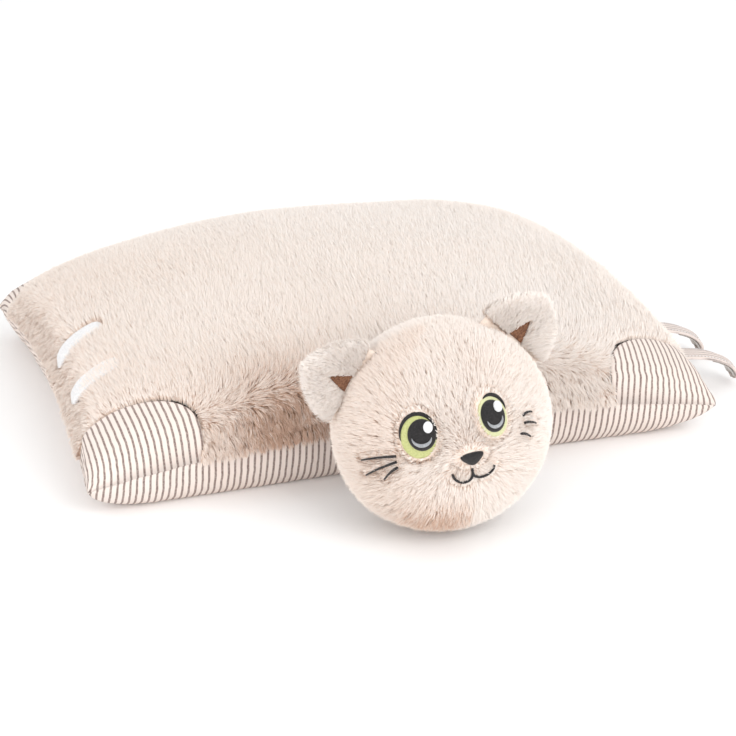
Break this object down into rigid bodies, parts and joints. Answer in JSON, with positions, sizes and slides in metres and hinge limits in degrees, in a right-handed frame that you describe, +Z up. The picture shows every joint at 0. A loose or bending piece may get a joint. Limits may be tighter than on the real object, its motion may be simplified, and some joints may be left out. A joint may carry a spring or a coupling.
{
  "type": "plush cat pillow",
  "caption": "Plush cat that opens flat into a cushion: crowned pile top, striped woven base and paws, round embroidered head, ears, straps that close it when folded.",
  "frame": {"origin": "centre of the pillow's flat underside, on the surface it rests on", "axes": "+X along the pillow's length, +Y from the cat's head to the back edge, +Z up"},
  "size_m": [0.5104, 0.485, 0.1522],
  "materials": {
    "plush": "dense soft pile",
    "ticking": "woven, narrow stripes",
    "filling": "loose fibre",
    "loop_tape": "brushed loops",
    "strap_web": "woven, narrow stripes",
    "hook_tape": "stiff hooks",
    "thread_black": "satin stitch",
    "thread_green": "satin stitch",
    "thread_white": "satin stitch",
    "ear_lining": "short pile"
  },
  "bodies": {
    "spine": {"spine_plush": "plush", "spine_ticking_base": "ticking", "spine_filling": "filling", "fold_filling": "filling"},
    "left_flank": {"left_plush": "plush", "left_ticking_base": "ticking", "left_filling": "filling", "paw_front_left": "ticking", "paw_back_left": "ticking", "loop_patch_front": "loop_tape", "loop_patch_back": "loop_tape"},
    "right_flank": {"right_plush": "plush", "right_ticking_base": "ticking", "right_filling": "filling", "paw_front_right": "ticking", "paw_back_right": "ticking"},
    "neck": {"neck_gather": "plush"},
    "head": {"head_filling": "filling", "face_panel": "plush", "head_back_panel": "plush", "nose": "thread_black", "eye_left_iris": "thread_green", "eye_left_pupil": "thread_black", "eye_left_glint": "thread_white", "eye_left_lid": "thread_black", "eye_right_iris": "thread_green", "eye_right_pupil": "thread_black", "eye_right_glint": "thread_white", "eye_right_lid": "thread_black", "mouth_left": "thread_black", "mouth_right": "thread_black", "whisker_left_1": "thread_black", "whisker_left_2": "thread_black", "whisker_left_3": "thread_black", "whisker_right_1": "thread_black", "whisker_right_2": "thread_black", "whisker_right_3": "thread_black"},
    "ear_left": {"ear_left": "plush", "ear_left_lining": "ear_lining"},
    "ear_right": {"ear_right": "plush", "ear_right_lining": "ear_lining"},
    "strap_front": {"strap_front": "strap_web", "hook_pad_front": "hook_tape"},
    "strap_back": {"strap_back": "strap_web", "hook_pad_back": "hook_tape"}
  },
  "joints": [
    {"name": "left_fold", "type": "hinge", "parent": "spine", "child": "left_flank", "pos_m": [-0.06, 0, 0.058], "axis": [0, -1, 0], "range_deg": [0, 90], "stiffness_Nm_per_rad": 0.25, "deforming": ["spine_plush", "spine_ticking_base", "fold_filling"]},
    {"name": "right_fold", "type": "hinge", "parent": "spine", "child": "right_flank", "pos_m": [0.06, 0, 0.058], "axis": [0, 1, 0], "range_deg": [0, 90], "stiffness_Nm_per_rad": 0.25},
    {"name": "neck_turn", "type": "hinge", "parent": "spine", "child": "neck", "pos_m": [0, -0.1816, 0.052], "axis": [0, 0, 1], "range_deg": [-22, 22], "stiffness_Nm_per_rad": 0.05},
    {"name": "head_nod", "type": "hinge", "parent": "neck", "child": "head", "pos_m": [0, -0.1816, 0.052], "axis": [-1, 0, 0], "range_deg": [-20, 25], "stiffness_Nm_per_rad": 0.05},
    {"name": "ear_left_flop", "type": "hinge", "parent": "head", "child": "ear_left", "pos_m": [-0.0632, -0.238, 0.1102], "axis": [0.5807, 0, 0.8141], "range_deg": [-20, 20], "stiffness_Nm_per_rad": 0.02},
    {"name": "ear_right_flop", "type": "hinge", "parent": "head", "child": "ear_right", "pos_m": [0.03677, -0.238, 0.12514], "axis": [0.7934, 0, -0.6088], "range_deg": [-20, 20], "stiffness_Nm_per_rad": 0.02},
    {"name": "strap_front_swing", "type": "hinge", "parent": "right_flank", "child": "strap_front", "pos_m": [0.2222, -0.095, 0.034], "axis": [0, 1, 0], "range_deg": [-90, 60]},
    {"name": "strap_back_swing", "type": "hinge", "parent": "right_flank", "child": "strap_back", "pos_m": [0.2222, -0.038, 0.034], "axis": [0, 1, 0], "range_deg": [-90, 60]}
  ]
}
